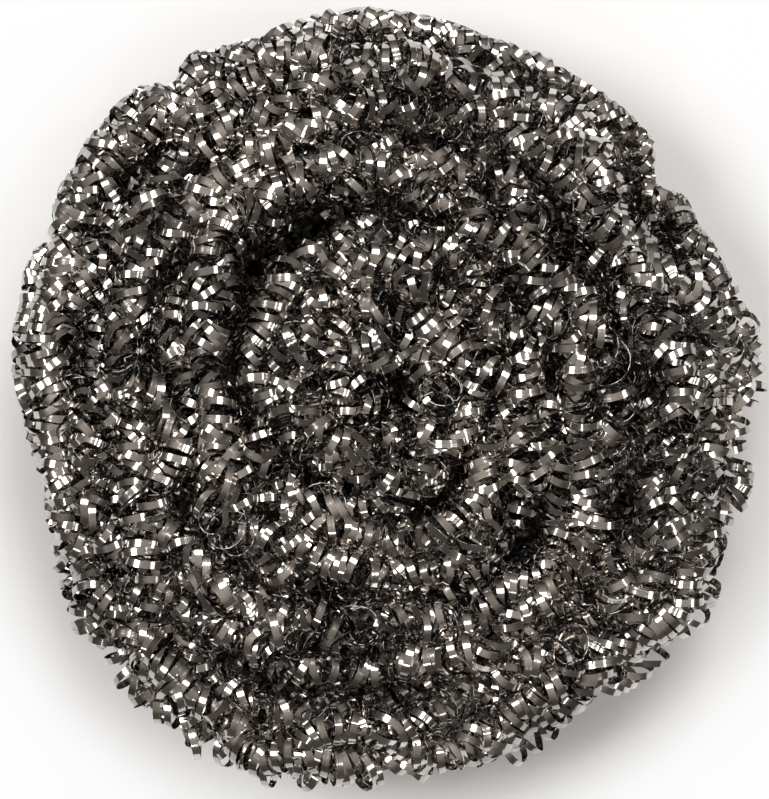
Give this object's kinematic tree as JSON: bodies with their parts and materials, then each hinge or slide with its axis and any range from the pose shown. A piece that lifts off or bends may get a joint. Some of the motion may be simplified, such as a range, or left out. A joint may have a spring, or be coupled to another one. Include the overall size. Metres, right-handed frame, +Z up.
{
  "type": "stainless steel scrubber",
  "caption": "Scouring pad for pots and pans: a flat stainless steel ribbon curled into a tight coil and wound into a round, springy bun.",
  "frame": {"origin": "Below the middle of the bun, on the surface that it rests on.", "axes": "+Z points up out of the bun, through its domed top. +X and +Y lie in the plane of the bun, with +Y towards the top of the reference view."},
  "size_m": [0.0964, 0.1002, 0.0313],
  "materials": {
    "coiled_ribbon": "bright rolled stainless strip, warm grey"
  },
  "bodies": {
    "root": {"coiled_ribbon": "coiled_ribbon"}
  },
  "joints": []
}
